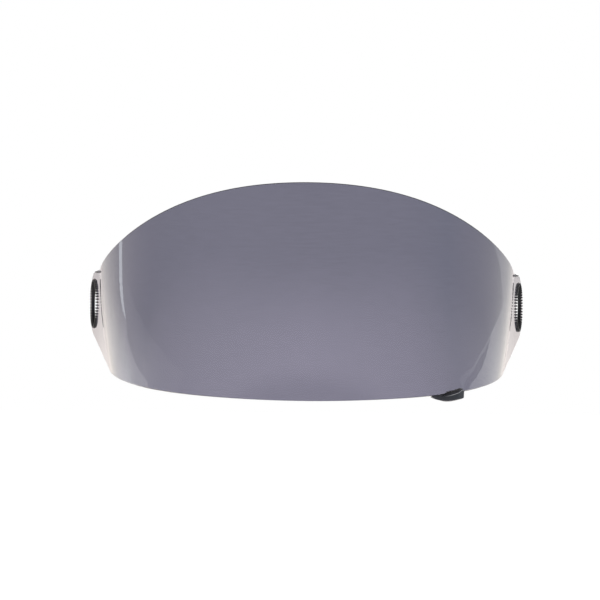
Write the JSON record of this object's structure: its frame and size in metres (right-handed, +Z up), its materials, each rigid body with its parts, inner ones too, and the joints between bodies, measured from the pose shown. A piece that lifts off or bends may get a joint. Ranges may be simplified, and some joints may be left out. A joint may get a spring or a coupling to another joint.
{
  "type": "helmet visor",
  "caption": "Smoke-tinted wrap-around motorcycle helmet visor with a toothed pivot ring in each flat ear and a lift tab at its lower edge.",
  "frame": {"origin": "midway between the centres of the two ear holes, on the pivot axis", "axes": "+X along the pivot axis towards the side with the lift tab, -Y out of the visor's front, +Z up"},
  "size_m": [0.266, 0.1655, 0.1151],
  "materials": {
    "smoke_polycarbonate": "polished, smoke tint with a slight blue-violet cast",
    "black_ring_plastic": "moulded, satin",
    "black_tab_plastic": "moulded, fine grain",
    "screw_steel": "zinc-plated"
  },
  "bodies": {
    "visor": {"visor_shell": "smoke_polycarbonate", "lift_tab": "black_tab_plastic", "tab_clamp_plate": "black_tab_plastic", "tab_screw_1": "screw_steel", "tab_screw_2": "screw_steel"},
    "pivot_ring_left": {"pivot_ring_left": "black_ring_plastic"},
    "pivot_ring_right": {"pivot_ring_right": "black_ring_plastic"}
  },
  "joints": [
    {"name": "ring_turn_left", "type": "hinge", "parent": "visor", "child": "pivot_ring_left", "pos_m": [-0.1283, 0, 0], "axis": [0.9703, 0.2419, 0], "range_deg": [0, 55]},
    {"name": "ring_turn_right", "type": "hinge", "parent": "visor", "child": "pivot_ring_right", "pos_m": [0.1283, 0, 0], "axis": [0.9703, -0.2419, 0], "range_deg": [0, 55]}
  ]
}
